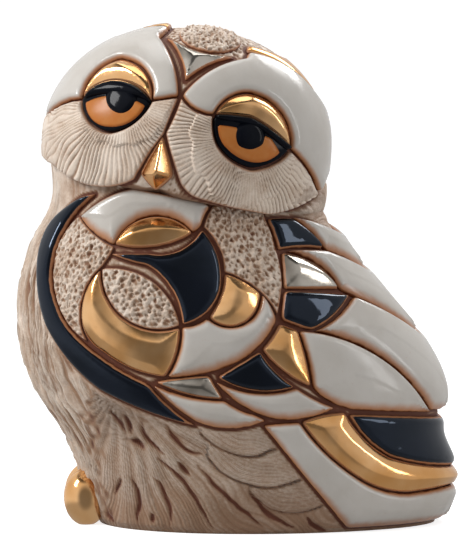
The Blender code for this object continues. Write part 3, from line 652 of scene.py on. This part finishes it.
def belly_feathers(flat, drawn):
    """Strokes that fan out below the wing, and three overlapping feathers in front of the tail."""
    away = drawn - FAN_CENTRE
    reach = np.linalg.norm(away, axis=1)
    angle = np.degrees(np.arctan2(away[:, 0], -away[:, 1]))
    bent = angle + 1.6 * wander(flat, 16.0, 30)
    wavy = drawn + 0.25 * np.stack([wander(flat, 5.0, 31), wander(flat, 5.0, 32)], axis=1)
    stroke = carved(wavy, BELLY_CUTS)
    strand = np.radians(bent) * 26 / 0.95 + 0.15 * wander(flat, 5.0, 34)
    comb = np.sin(2 * math.pi * strand)
    swell = np.sin(2 * math.pi * bent / 11.0 + 1.2 * wander(flat, 14.0, 33))
    tier = np.sin(2 * math.pi * reach / 14.0)
    relief = 0.08 * comb - 0.7 * stroke + 0.22 * swell + 0.15 * tier
    # A tan stain over the whole belly, and painted shade that darkens it more towards the bottom.
    tan_and_low_shade = 0.23 + 0.15 * (1 - ramp(drawn[:, 1], 0.0, 11.0))
    stain = 0.95 * stroke + 0.10 * np.clip(-comb, 0, 1) + 0.10 * np.clip(-swell, 0, 1) + tan_and_low_shade
    for x, z, radius in reversed(SCALES):
        place = drawn - np.array([x, z])
        out = np.linalg.norm(place, axis=1) + 0.2 * wander(flat, 6.0, 36)
        lower = ramp(-place[:, 1], 0.0, 1.5) * (np.abs(place[:, 0]) < 0.8 * radius)
        on = lower * (out < radius)
        edge = np.exp(-((out - radius) / 0.36) ** 2) * lower
        rings = np.sin(2 * math.pi * out / 0.9 + 0.6 * wander(flat, 4.0, 35))
        feather = 0.35 * np.exp((out - radius) / 3.0) + 0.07 * rings
        relief = np.where(on > 0.5, feather, relief) - 0.5 * edge
        stain = np.maximum(np.where(on > 0.5, 0.1 * np.clip(-rings, 0, 1) + tan_and_low_shade, stain), 0.75 * edge)
        strand = np.where(on > 0.5, out / 0.5, strand)
    return relief, stain, strand * 1.5


# ---- Materials

DARK_STAIN = (0.13, 0.032, 0.010)
TAN_STAIN = (0.47, 0.21, 0.095)
CLAY_STAIN = (0.33, 0.19, 0.11)
PEARL = (0.80, 0.67, 0.55)
PEARL_SHADE = (0.60, 0.445, 0.325)
PEARL_GRAIN = (0.86, 0.76, 0.67)


class Graph:
    """A node tree under construction: short names for the nodes that it uses."""

    def __init__(self, tree):
        self.tree = tree

    def node(self, kind, **inputs):
        made = self.tree.nodes.new(kind)
        for key, value in inputs.items():
            self.feed(made.inputs[key], value)
        return made

    def feed(self, socket, value):
        if isinstance(value, bpy.types.NodeSocket):
            self.tree.links.new(value, socket)
        elif isinstance(value, tuple) and len(value) == 3 and socket.type == "RGBA":
            socket.default_value = (*value, 1.0)
        else:
            socket.default_value = value

    def attribute(self, name):
        made = self.tree.nodes.new("ShaderNodeAttribute")
        made.attribute_name = name
        return made.outputs["Fac"]

    def noise(self, scale, detail=2.0):
        """Noise in object space, with features about 1000 / scale millimetres across."""
        where = self.tree.nodes.new("ShaderNodeTexCoord").outputs["Object"]
        return self.node("ShaderNodeTexNoise", Vector=where, Scale=scale, Detail=detail).outputs["Fac"]

    def fade(self, value, low, high, out_low=0.0, out_high=1.0):
        made = self.tree.nodes.new("ShaderNodeMapRange")
        made.interpolation_type = "SMOOTHSTEP"
        for index, item in enumerate((value, low, high, out_low, out_high)):
            self.feed(made.inputs[index], item)
        return made.outputs[0]

    def math(self, operation, first, second):
        made = self.tree.nodes.new("ShaderNodeMath")
        made.operation = operation
        self.feed(made.inputs[0], first)
        self.feed(made.inputs[1], second)
        return made.outputs[0]

    def mix(self, factor, first, second):
        made = self.tree.nodes.new("ShaderNodeMix")
        made.data_type = "RGBA"
        self.feed(made.inputs[0], factor)
        self.feed(made.inputs[6], first)
        self.feed(made.inputs[7], second)
        return made.outputs[2]

    def choose(self, factor, first, second):
        made = self.tree.nodes.new("ShaderNodeMix")
        for index, item in ((0, factor), (2, first), (3, second)):
            self.feed(made.inputs[index], item)
        return made.outputs[0]


class Shader(Graph):
    """A material under construction."""

    def __init__(self, name):
        self.material = bpy.data.materials.new(name)
        self.material.use_nodes = True
        super().__init__(self.material.node_tree)
        self.surface = self.tree.nodes["Principled BSDF"]

    def finish(self, colour, roughness, metallic=0.0, bump=None, bump_size=0.0, sheen=0.0):
        self.feed(self.surface.inputs["Base Color"], colour)
        self.feed(self.surface.inputs["Roughness"], roughness)
        self.feed(self.surface.inputs["Metallic"], metallic)
        self.feed(self.surface.inputs["Sheen Weight"], sheen)
        if bump is not None:
            made = self.node("ShaderNodeBump", Height=bump, Distance=bump_size * MM)
            self.feed(self.surface.inputs["Normal"], made.outputs["Normal"])
        return self.material


def stained_rim(shader, glaze, tan_from, tan_to, dark_to=0.14):
    """Dark stain in the cut, a tan rim beside it, and the glaze further in. Where edge is stretched at a
    feather's lower edge, the wider rim is painted shade.
    """
    wavering = shader.fade(shader.noise(500.0), 0.3, 0.7, -0.04, 0.04)
    edge = shader.math("ADD", shader.attribute("edge"), wavering)
    rim = shader.mix(shader.fade(edge, 0.0, dark_to), DARK_STAIN, TAN_STAIN)
    return shader.mix(shader.fade(edge, tan_from, tan_to), rim, glaze), shader.fade(edge, tan_from, tan_to)


def white_glaze():
    shader = Shader("white_glaze")
    cloud = shader.fade(shader.noise(90.0, 3.0), 0.3, 0.7)
    glaze = shader.mix(cloud, (0.545, 0.505, 0.455), (0.605, 0.57, 0.525))
    flecks = shader.fade(shader.noise(2600.0, 1.0), 0.70, 0.78)
    glaze = shader.mix(shader.math("MULTIPLY", flecks, 0.25), glaze, TAN_STAIN)
    colour, _ = stained_rim(shader, glaze, 0.10, 0.8)
    roughness = shader.fade(shader.noise(400.0), 0.3, 0.7, 0.16, 0.26)
    return shader.finish(colour, roughness, bump=shader.noise(220.0), bump_size=0.10)


def black_glaze():
    shader = Shader("black_glaze")
    uneven = shader.fade(shader.noise(120.0), 0.3, 0.7)
    glaze = shader.mix(uneven, (0.002, 0.0025, 0.004), (0.004, 0.005, 0.009))
    colour, inner = stained_rim(shader, glaze, 0.24, 0.36)
    roughness = shader.fade(inner, 0.0, 1.0, 0.5, 0.06)
    shader.feed(shader.surface.inputs["Specular IOR Level"], 0.42)
    shader.feed(shader.surface.inputs["Specular Tint"], (0.62, 0.76, 1.0))
    return shader.finish(colour, roughness, bump=shader.noise(160.0), bump_size=0.08)


def lustre(name, bright, deep, roughness):
    shader = Shader(name)
    metal = shader.mix(shader.fade(shader.noise(130.0), 0.25, 0.75), deep, bright)
    colour, inner = stained_rim(shader, metal, 0.34, 0.46)
    rough = shader.math("ADD", shader.fade(inner, 0.0, 1.0, 0.4, roughness),
                        shader.fade(shader.noise(900.0), 0.4, 0.8, 0.0, 0.08))
    return shader.finish(colour, rough, metallic=inner, bump=shader.noise(110.0), bump_size=0.22)


def amber_glaze():
    shader = Shader("amber_glaze")
    deep = shader.fade(shader.attribute("edge"), 0.0, 1.1)
    colour = shader.mix(deep, (0.34, 0.085, 0.012), (0.53, 0.195, 0.05))
    colour = shader.mix(shader.fade(shader.noise(500.0), 0.35, 0.7, 0.0, 0.4), colour, (0.50, 0.14, 0.02))
    shader.feed(shader.surface.inputs["Specular IOR Level"], 0.15)
    return shader.finish(colour, 0.22, bump=shader.noise(300.0), bump_size=0.05)


def bisque(name):
    """Unglazed clay with a pearl wash on its high places, brown stain left in the cuts, and the painted shade
    that the stain attribute also carries.
    """
    shader = Shader(name)
    tone = shader.mix(shader.fade(shader.noise(160.0, 4.0), 0.35, 0.65), PEARL_SHADE, PEARL)
    grain = shader.fade(shader.noise(2400.0, 3.0), 0.35, 0.65)
    tone = shader.mix(shader.math("MULTIPLY", grain, 0.35), tone, PEARL_GRAIN)
    grain = shader.fade(shader.noise(1500.0), 0.3, 0.7, -0.03, 0.03)
    stain = shader.math("ADD", shader.attribute("stain"), grain)
    # The stain attribute darkens the clay: real stain in cuts and pits, and painted shade low on the belly,
    # where the breast turns and under the face.
    tone = shader.mix(shader.fade(stain, 0.0, 0.5), tone, CLAY_STAIN)
    tone = shader.mix(shader.fade(stain, 0.45, 0.9), tone, DARK_STAIN)
    colour, _ = stained_rim(shader, tone, 0.05, 0.5)
    roughness = shader.fade(stain, 0.0, 0.6, 0.42, 0.7)
    hair = shader.math("SINE", shader.math("MULTIPLY", shader.attribute("strand"), 2 * math.pi), 0.0)
    hair = shader.math("MULTIPLY", hair, shader.attribute("hair"))
    rough_clay = shader.math("ADD", shader.noise(3200.0, 3.0), shader.math("MULTIPLY", hair, 0.6))
    return shader.finish(colour, roughness, bump=rough_clay, bump_size=0.09, sheen=0.15)


# ---- The castings


def distance_to_cells(points, outlines, unroll, lay):
    """Distance from each point to the nearest cell edge, as the cells lie on the casting."""
    rings = [inset(unroll(drawn_ring(corners, RING_STEP)), SEAM) for corners in outlines]
    edges = np.vstack([lay(resampled(ring, RING_STEP), 0.0) for ring in rings])
    return nearest_point(points, edges)[0]


def body_surface(material):
    """The bare body: carved breast and belly, stained cuts round the cells, flat base and vent."""
    count = int(2 * math.pi * SPREAD * 0.95 / BODY_STEP)
    rows = int(BODY_TALL / BODY_STEP)
    turn = np.linspace(-math.pi, math.pi, count, endpoint=False)
    top = neck_height(body_point(turn, np.full(count, 76.0))[:, 0]) + 1.2
    share = np.linspace(0, 1, rows)[:, None]
    height = (share * top[None]).ravel()
    turn = np.tile(turn, rows)
    flat = np.stack([-SPREAD * np.abs(turn), height], axis=1)
    bare = body_point(np.abs(turn), height)
    drawn = np.stack([bare[:, 0], height + LEAN * bare[:, 1]], axis=1)
    # The far side's locks run on from the near side's, so that the breast isn't a mirror image.
    run_on = np.stack([np.where(turn < 0, SPREAD * (np.abs(turn) - 2 * math.pi), flat[:, 0]), height], axis=1)
    breast, breast_stain, breast_strand = breast_feathers(run_on)
    belly, belly_stain_and_shade, belly_strand = belly_feathers(flat, drawn)
    # The breast's locks give way to the belly's strokes along a line that leans back as it rises.
    side = ramp(drawn[:, 0] + 0.12 * drawn[:, 1] + 1.2 * wander(flat, 7.0, 40), -31.0, -28.0)
    relief = breast * (1 - side) + belly * side
    stain = breast_stain * (1 - side) + belly_stain_and_shade * side
    strand = np.where(side < 0.5, breast_strand, belly_strand)
    meeting = 4 * side * (1 - side)
    # Painted shade: an uneven darker band along the meeting line, where the breast turns away, from about 2
    # to 36 mm up.
    turn_shade = meeting * ramp(height, 2.0, 9.0) * (1 - ramp(height, 27.0, 36.0))
    stain = stain + turn_shade * (0.22 + 0.3 * np.clip(wander(flat, 2.2, 41), -0.6, 1))
    outlines = [corners for _, corners in WING_CELLS.values()] + list(WING_PADS.values())
    distance = distance_to_cells(bare, outlines, unroll_on_body, lay_on_body)
    cut = 1 - ramp(distance, 0.4, 1.0)
    clear = ramp(distance, 0.6, 2.0)
    relief = relief * clear - 0.25 * cut
    stain = np.maximum(stain * (1 - cut), cut)
    flare = ramp(height, 0.0, 1.6)
    relief = relief * flare - 0.6 * (1 - flare)
    points = lay_on_body(flat, relief[:, None])
    points[:, 1] *= np.where(turn < 0, -1, 1)
    points[:, 2] = np.where(height < 1e-6, 0.0, points[:, 2])
    # The base with its vent, which is blind, and a lid under the head.
    base = points[:count]
    middle = np.array([base[:, 0].mean(), 0.0, 0.0])
    angle = np.arctan2(base[:, 1], base[:, 0] - middle[0])
    vent = np.stack([VENT_RADIUS * np.cos(angle), VENT_RADIUS * np.sin(angle), 0 * angle], axis=1) + middle
    deep = np.array([0, 0, 3 * WALL])
    last, rim = (rows - 1) * count, len(points)
    inner, blind, lid = rim + count, rim + 2 * count, rim + 2 * count + 1
    faces = grid_faces(rows, count) + band(0, rim, count) + band(rim, inner, count)
    faces += fan(inner, count, blind) + fan(last, count, lid)
    points = np.vstack([points, vent, vent + deep, middle + deep, points[last:].mean(axis=0)])
    more = np.zeros(len(points) - rim)
    attributes = {
        "stain": np.concatenate([stain, more]),
        "strand": np.concatenate([strand, more]),
        "hair": np.concatenate([clear * (1 - meeting), more]),
        "edge": np.full(len(points), FAR_FROM_EDGE),
    }
    return mesh_object("body_surface", points, faces, material, attributes)


def head_surface(material):
    """The bare head: stippled crown, soft throat, locks behind, and stained cuts round the face."""
    count = int(2 * math.pi * HEAD_SPREAD / HEAD_STEP)
    rows = int(HEAD_ARC / HEAD_STEP) - 2
    turn = np.linspace(-math.pi, math.pi, count, endpoint=False)
    share = np.linspace(0.0, 1.0, rows + 2)[1:-1, None]
    # Angles run from just off the crown down to a little below the neck joint.
    polar = (share * (math.pi * 0.625) + 0 * turn[None]).ravel()
    flat = head_flat(directions(polar, np.tile(turn, rows)))
    points = lay_on_head(flat, 0.0)
    stippled, pit = stipple_in_space(points)
    round_back = HEAD_SPREAD * np.arctan2(points[:, 0], points[:, 1])
    locks, lock_stain, strand = breast_feathers(np.stack([round_back, points[:, 2] - 60.0], axis=1))
    above = points[:, 2] - neck_height(points[:, 0])
    throat = (1 - ramp(above, 3.0, 8.0)) * ramp(-points[:, 0], 12.0, 20.0)
    nape = ramp(points[:, 0], 5.0, 15.0) * (1 - ramp(above, 2.0, 14.0))
    hair = np.maximum(ramp(points[:, 1], -4.0, 5.0) * ramp(polar, 0.3, 0.6), nape)
    locky = np.maximum(throat, hair) * (0.1 + 0.4 * ramp(above, 0.0, 10.0))
    bare = 1 - np.maximum(throat, hair)
    relief = stippled * bare + locks * locky + 2.0 * nape
    stain = pit * bare + lock_stain * locky + 0.12 * hair
    outlines = [corners for _, corners in FACE_CELLS.values()] + [LEFT_DISC, RIGHT_DISC]
    distance = distance_to_cells(points, outlines, unroll_on_head, lay_on_head)
    cut = 1 - ramp(distance, 0.45, 1.1)
    relief = relief * ramp(distance, 0.5, 1.6) - 0.2 * cut
    # Away from the face the neck narrows to meet the body. In front its lower rim tucks in and is darkened
    # with stain and painted shadow under the overhanging face.
    narrow = (1 - ramp(above, 0.0, 9.0)) * ramp(distance, 1.5, 7.0) * ramp(np.abs(points[:, 1]), 6.0, 18.0)
    tuck = 1 - ramp(above, -0.8, 1.0)
    front = (1 - ramp(points[:, 1], -2.0, 6.0)) * (1 - nape)
    relief = relief * (1 - tuck * (1 - nape)) - 1.3 * tuck ** 2 * (1 - nape) - 2.2 * narrow
    # Stain and painted shadow on the tucked-in rim in front, under the face.
    stain = np.maximum(np.maximum(stain * (1 - cut), cut), 0.6 * ramp(tuck, 0.2, 0.8) * front)
    points = lay_on_head(flat, relief[:, None])
    points[:, 2] = np.maximum(points[:, 2], neck_height(points[:, 0]) - 0.8)
    last, crown = (rows - 1) * count, len(points)
    faces = [face[::-1] for face in grid_faces(rows, count)]
    faces += fan(0, count, crown) + fan(last, count, crown + 1)
    ends = np.vstack([HEAD_CENTRE + np.array([0, 0, HEAD_RISE]), points[last:].mean(axis=0)])
    points = np.vstack([points, ends])
    attributes = {
        "stain": np.concatenate([stain, [0, 1]]),
        "strand": np.concatenate([strand, [0, 0]]),
        "hair": np.concatenate([hair, [0, 0]]),
        "edge": np.full(len(points), FAR_FROM_EDGE),
    }
    return mesh_object("head_surface", points, faces, material, attributes)


def head_flat(direction):
    """From directions out of the head's centre to the unrolled head."""
    angle = np.arccos(np.clip(-direction[:, 1], -1, 1))
    across = np.maximum(np.hypot(direction[:, 0], direction[:, 2]), 1e-9)
    return HEAD_SPREAD * (angle / across)[:, None] * direction[:, [0, 2]]


def stipple_in_space(points):
    """Stipple for a surface that closes on itself: pits at the points of a spiral round the head."""
    random = np.random.default_rng(SEED + 1)
    count = int(4 * math.pi * 30 ** 2 / (PIT_PITCH ** 2 * 0.87))
    number = np.arange(count) + 0.5
    polar = np.arccos(1 - 2 * number / count)
    direction = directions(polar, math.pi * (1 + math.sqrt(5)) * number)
    direction += random.normal(0, 0.011, direction.shape)
    direction /= np.linalg.norm(direction, axis=1, keepdims=True)
    distance, _ = nearest_point(points, lay_on_head(head_flat(direction), 0.0))
    pit = ramp(1 - distance / CROWN_PIT_RADIUS, 0.0, 0.7)
    return -CROWN_PIT_DEPTH * pit, CROWN_PIT_STAIN * pit


# ---- Beak, feet and eyes

BEAK_SLOPE = 1.35
FOOT_COLUMNS, FOOT_ROWS = 72, 38
# Pieces of an eye: height, rounding and mesh size.
EYE_PIECES = {
    "rim": (1.0, 0.5, 0.4), "iris": (1.35, 0.9, 0.35), "pupil": (1.75, 2.2, 0.35), "lash": (2.35, 1.2, 0.35),
}


def beak(material):
    """A kite with a soft ridge, thickest towards its tip."""
    ring = unroll_on_head(drawn_ring([(x, z, 0.25) for x, z in BEAK_CORNERS], 0.3))

    def ridge(depth):
        return BEAK_SLOPE * np.minimum(depth, BEAK_RISE / BEAK_SLOPE)

    return raised_piece("beak_surface", ring, lay_on_head, material, ridge, 1.0, 0.3)


def foot(name, side, material):
    """Two rounded toes pressed together, flat underneath."""
    x, y, z = FOOT_CENTRE
    polar = np.repeat(np.linspace(0, math.pi, FOOT_ROWS + 2)[1:-1], FOOT_COLUMNS)
    turn = np.tile(np.linspace(0, 2 * math.pi, FOOT_COLUMNS, endpoint=False), FOOT_ROWS)
    direction = directions(polar, turn)
    crease = np.exp(-((direction[:, 1] - 0.05) / 0.13) ** 2) * ramp(-direction[:, 0], -0.2, 0.5)
    points = direction * (1 - 0.13 * crease)[:, None] * np.array(FOOT_RADII) + np.array(FOOT_CENTRE)
    points[:, 2] = np.maximum(points[:, 2], 0.0)
    points[:, 1] *= side
    last, top = (FOOT_ROWS - 1) * FOOT_COLUMNS, len(points)
    faces = grid_faces(FOOT_ROWS, FOOT_COLUMNS) + fan(0, FOOT_COLUMNS, top) + fan(last, FOOT_COLUMNS, top + 1)
    points = np.vstack([points, [[x, side * y, z + FOOT_RADII[2]], [x, side * y, 0.0]]])
    edge = 3.0 * (1 - np.concatenate([crease, [0, 0]])) + 0.35
    return mesh_object(name, points, faces, material, {"edge": edge, "stain": np.zeros(len(points))})


def eye_ring(corners, margin):
    return inset(unroll_on_head(drawn_ring(corners, 0.25)), margin)


def eye(side, gloss, amber):
    """Black rim, amber iris, a domed pupil and a heavy lash, each higher than the one before."""
    middle, radius, iris, lash = EYES[side]
    rings = {
        "rim": eye_ring(FACE_CELLS[side + "_eye_black"][1], 0.1),
        "iris": eye_ring(iris, 0.1),
        "pupil": unroll_on_head(circle(middle, radius, 80)),
        "lash": eye_ring(lash, 0.05),
    }
    for key, (height, rounding, step) in EYE_PIECES.items():
        glaze, slot = (amber, "amber_glaze") if key == "iris" else (gloss, "black_glaze")
        piece = raised_piece(f"{side}_eye_{key}", rings[key], lay_on_head, glaze, height, rounding, step)
        if key == "rim":
            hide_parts(side + "_eye_black")
        if key == "iris":
            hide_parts(side + "_iris")


def pupil_gloss():
    shader = Shader("eye_black_glaze")
    uneven = shader.fade(shader.noise(150.0), 0.3, 0.7)
    colour = shader.mix(uneven, (0.002, 0.0025, 0.004), (0.005, 0.006, 0.010))
    shader.feed(shader.surface.inputs["Specular IOR Level"], 0.08)
    return shader.finish(colour, 0.1, bump=shader.noise(200.0), bump_size=0.05)


# ---- The owl


def stand_for(piece, node):
    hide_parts(node)


def profile(name, finish):
    """Lustred cells are faceted and the others are domed. The crown's crescents lie low."""
    if "crown_crescent" in name:
        return CREST_HEIGHTS[name]
    return roof if "lustre" in finish else CELL_HEIGHT


def cell_ring(corners, unroll):
    return inset(unroll(drawn_ring(corners, 0.3)), SEAM)


def dress_face(materials, clay):
    """The glazed cells of the head, the eyes, the fluted discs below them and the crown roundel."""
    for name, (finish, corners) in FACE_CELLS.items():
        if name.endswith("eye_black"):
            continue
        piece = raised_piece(name + "_surface", cell_ring(corners, unroll_on_head), lay_on_head,
                             materials[finish], profile(name, finish), CELL_ROUND, CELL_STEP)
        stand_for(piece, name)
    gloss, amber = pupil_gloss(), amber_glaze()
    for side in ("left", "right"):
        eye(side, gloss, amber)
    for side, corners, tier in (("left", LEFT_DISC, 11.3), ("right", RIGHT_DISC, 12.0)):
        centre = unroll_on_head(np.array([EYES[side][0]]))[0]
        piece = raised_piece(side + "_lower_disc_flutes", cell_ring(corners, unroll_on_head), lay_on_head,
                             clay, 1.15, 1.0, FLUTE_STEP, texture=fluting(centre, tier))
    ring = circle(unroll_on_head(np.array([CROWN_CENTRE]))[0], CROWN_RADIUS, 120)
    piece = raised_piece("crown_roundel", ring, lay_on_head, clay, 1.0, 0.7, PAD_STEP, texture=stipple)


def dress_wings(materials, clay):
    """Both wings with their halves of the tail, and the stippled pads between the cells."""
    for name, (finish, corners) in WING_CELLS.items():
        ring = cell_ring(corners, unroll_on_body)
        overlap_and_shade = OVERLAP_AND_SHADE if "white" in finish else 0.0
        for side in ("left", "right"):
            node = f"{side}_wing_{name}"
            piece = raised_piece(node + "_surface", ring, lay_on_body, materials[finish],
                                 profile(name, finish), CELL_ROUND, CELL_STEP, overlap_and_shade=overlap_and_shade,
                                 far=side == "right")
            stand_for(piece, node)
    for name, corners in WING_PADS.items():
        ring = cell_ring(corners, unroll_on_body)
        for side in ("left", "right"):
            piece = raised_piece(f"{side}_wing_{name}", ring, lay_on_body, clay, PAD_HEIGHT, 0.6, PAD_STEP,
                                 texture=stipple, far=side == "right")


def dress_owl():
    materials = {
        "white_glaze": white_glaze(),
        "black_glaze": black_glaze(),
        "gold_lustre": lustre("gold_lustre", (0.93, 0.56, 0.27), (0.76, 0.38, 0.13), 0.13),
        "platinum_lustre": lustre("platinum_lustre", (0.60, 0.55, 0.48), (0.22, 0.19, 0.155), 0.12),
    }
    body_clay, head_clay, gold = bisque("body_bisque"), bisque("head_bisque"), materials["gold_lustre"]
    stand_for(body_surface(body_clay), "body_casting")
    stand_for(head_surface(head_clay), "head_casting")
    stand_for(beak(gold), "beak")
    for side, sign in (("left", -1), ("right", 1)):
        stand_for(foot(side + "_foot_surface", sign, gold), side + "_foot")
    dress_face(materials, head_clay)
    dress_wings(materials, body_clay)


# ---- Studio

FILL_BELOW, FILL_ABOVE = 0.11, 0.27  # soft fill from below and above
FLOOR_GLOW, FLOOR_SEEN = 0.05, 0.8  # light from the floor, and how bright it is to the camera
BACKDROP = 0.975  # brightness of the room to the camera, then of its parts to glazes
WALL_LEFT, WALL_RIGHT, TABLE, CEILING, DARK_PATCH = 0.85, 0.62, 0.42, 0.12, 0.2
# Softboxes, aimed at the owl: place and size in owl heights, and watts.
SOFTBOXES = {
    "key": ((-3.5, -1.2, 2.6), (1.1, 1.6), 1.45),
    "strip": ((3.4, -1.2, 1.2), (0.7, 2.6), 0.3),
    "rim": ((2.0, 2.4, 2.8), (1.4, 1.8), 0.9),
    "overhead": ((0.0, 1.0, 3.8), (2.8, 2.2), 0.5),
}
SUN_STRENGTH, SUN_WIDTH, SUN_WAY = 0.4, 40.0, (0.5, 0.6, -0.9)
CAMERA_TARGET = (-2.2, 0.0, 53.8)
CAMERA_DISTANCE = 1300.0
PICTURE_HEIGHT = 122.1  # how much the picture takes in at the target, top to bottom


def studio_world():
    """White behind the owl, soft fill on it, and a pale room for its glazes to reflect."""
    world = bpy.data.worlds.new("studio")
    world.use_nodes = True
    graph = Graph(world.node_tree)
    way = graph.node("ShaderNodeTexCoord").outputs["Generated"]
    across, away, rise = graph.node("ShaderNodeSeparateXYZ", Vector=way).outputs
    ray = graph.node("ShaderNodeLightPath").outputs
    fill = graph.fade(rise, -0.6, 0.9, FILL_BELOW, FILL_ABOVE)
    # Pale walls over a table, a dark ceiling, and a dark round patch behind the camera.
    walls = graph.fade(across, -0.5, 0.7, WALL_LEFT, WALL_RIGHT)
    room = graph.choose(graph.fade(rise, -0.35, -0.12, 1.0, 0.0), walls, TABLE)
    room = graph.choose(graph.fade(rise, 0.72, 0.86), room, CEILING)
    room = graph.choose(graph.fade(away, -0.92, -0.62, 1.0, 0.0), room, DARK_PATCH)
    seen = graph.choose(ray["Is Glossy Ray"], fill, room)
    background = graph.tree.nodes["Background"]
    graph.feed(background.inputs["Strength"], graph.choose(ray["Is Camera Ray"], seen, BACKDROP))
    background.inputs["Color"].default_value = (0.99, 0.99, 1.0, 1.0)
    bpy.context.scene.world = world


def new_object(name, data):
    made = bpy.data.objects.new(name, data)
    bpy.context.scene.collection.objects.link(made)
    return made


def look_along(obj, way):
    obj.rotation_euler = Vector(way).to_track_quat("-Z", "Y").to_euler()


def studio_floor(middle, low, size):
    bpy.ops.mesh.primitive_plane_add(size=60 * size, location=(middle[0], middle[1], low[2]))
    floor = bpy.context.object
    floor.name = "floor"
    plain = Shader("pale_floor")
    floor.data.materials.append(plain.finish((0.6, 0.6, 0.6), 0.6))
    plain.surface.inputs["Emission Color"].default_value = (1.0, 1.0, 1.0, 1.0)
    seen = plain.node("ShaderNodeLightPath").outputs["Is Camera Ray"]
    plain.feed(plain.surface.inputs["Emission Strength"], plain.fade(seen, 0.0, 1.0, FLOOR_GLOW, FLOOR_SEEN))
    floor.visible_glossy = False
    floor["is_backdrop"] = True


def studio_lights(middle, size):
    for name, (place, reach, watts) in SOFTBOXES.items():
        data = bpy.data.lights.new(name, "AREA")
        data.shape = "RECTANGLE"
        data.size, data.size_y = reach[0] * size, reach[1] * size
        data.energy = watts
        lamp = new_object(name, data)
        lamp.location = Vector(place) * size + Vector(middle)
        look_along(lamp, Vector(middle) - lamp.location)
    data = bpy.data.lights.new("daylight", "SUN")
    data.energy = SUN_STRENGTH
    data.angle = math.radians(SUN_WIDTH)
    sun = new_object("daylight", data)
    look_along(sun, SUN_WAY)
    sun.visible_glossy = False


def studio_camera():
    """A long lens that looks down by the drawings' lean."""
    data = bpy.data.cameras.new("camera")
    data.sensor_fit = "VERTICAL"
    data.sensor_height = 36.0
    data.lens = data.sensor_height * CAMERA_DISTANCE / PICTURE_HEIGHT
    camera = new_object("camera", data)
    tilt = math.atan(LEAN)
    target = Vector(CAMERA_TARGET) * MM
    camera.location = target + CAMERA_DISTANCE * MM * Vector((0, -math.cos(tilt), math.sin(tilt)))
    look_along(camera, target - camera.location)
    bpy.context.scene.camera = camera


def studio():
    low, high = (np.array(corner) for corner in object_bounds())
    middle, size = (low + high) / 2, float((high - low).max())
    studio_floor(middle, low, size)
    studio_world()
    studio_lights(middle, size)
    studio_camera()
    bpy.context.scene.view_settings.view_transform = "Standard"


dress_owl()
studio()
